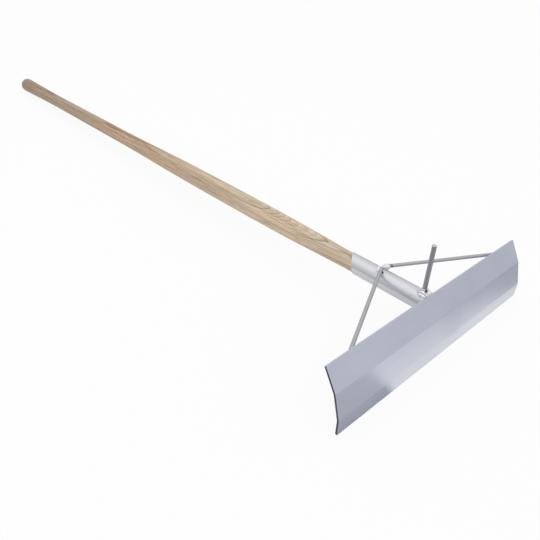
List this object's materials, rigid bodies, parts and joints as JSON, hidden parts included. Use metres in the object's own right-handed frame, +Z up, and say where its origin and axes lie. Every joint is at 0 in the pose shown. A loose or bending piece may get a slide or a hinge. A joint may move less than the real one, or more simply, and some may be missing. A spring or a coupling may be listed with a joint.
{
  "type": "concrete placer",
  "caption": "Long-handled concrete placer: a folded aluminium blade braced by rods to a tube socket, with an upright mesh hook and a turned wooden handle that ends in a knob.",
  "frame": {"origin": "the middle of the edge of the blade's lip, on the ground the tool rests on", "axes": "+X along the blade, to the right as seen from its front; +Y back along the handle, level with the ground; +Z up"},
  "size_m": [0.4952, 1.5419, 0.1789],
  "materials": {
    "blade_aluminium": "mill satin",
    "socket_aluminium": "satin",
    "rod_aluminium": "drawn satin",
    "weld_aluminium": "as welded",
    "ash": "clear varnish",
    "zinc_plate": "bright zinc"
  },
  "bodies": {
    "root": {"blade": "blade_aluminium", "socket": "socket_aluminium", "handle": "ash", "handle_screw": "zinc_plate", "hook_rod": "rod_aluminium", "brace_left": "rod_aluminium", "brace_right": "rod_aluminium", "socket_weld": "weld_aluminium", "hook_weld": "weld_aluminium", "brace_left_crown_weld": "weld_aluminium", "brace_right_crown_weld": "weld_aluminium", "brace_left_foot_weld": "weld_aluminium", "brace_right_foot_weld": "weld_aluminium"}
  },
  "joints": []
}
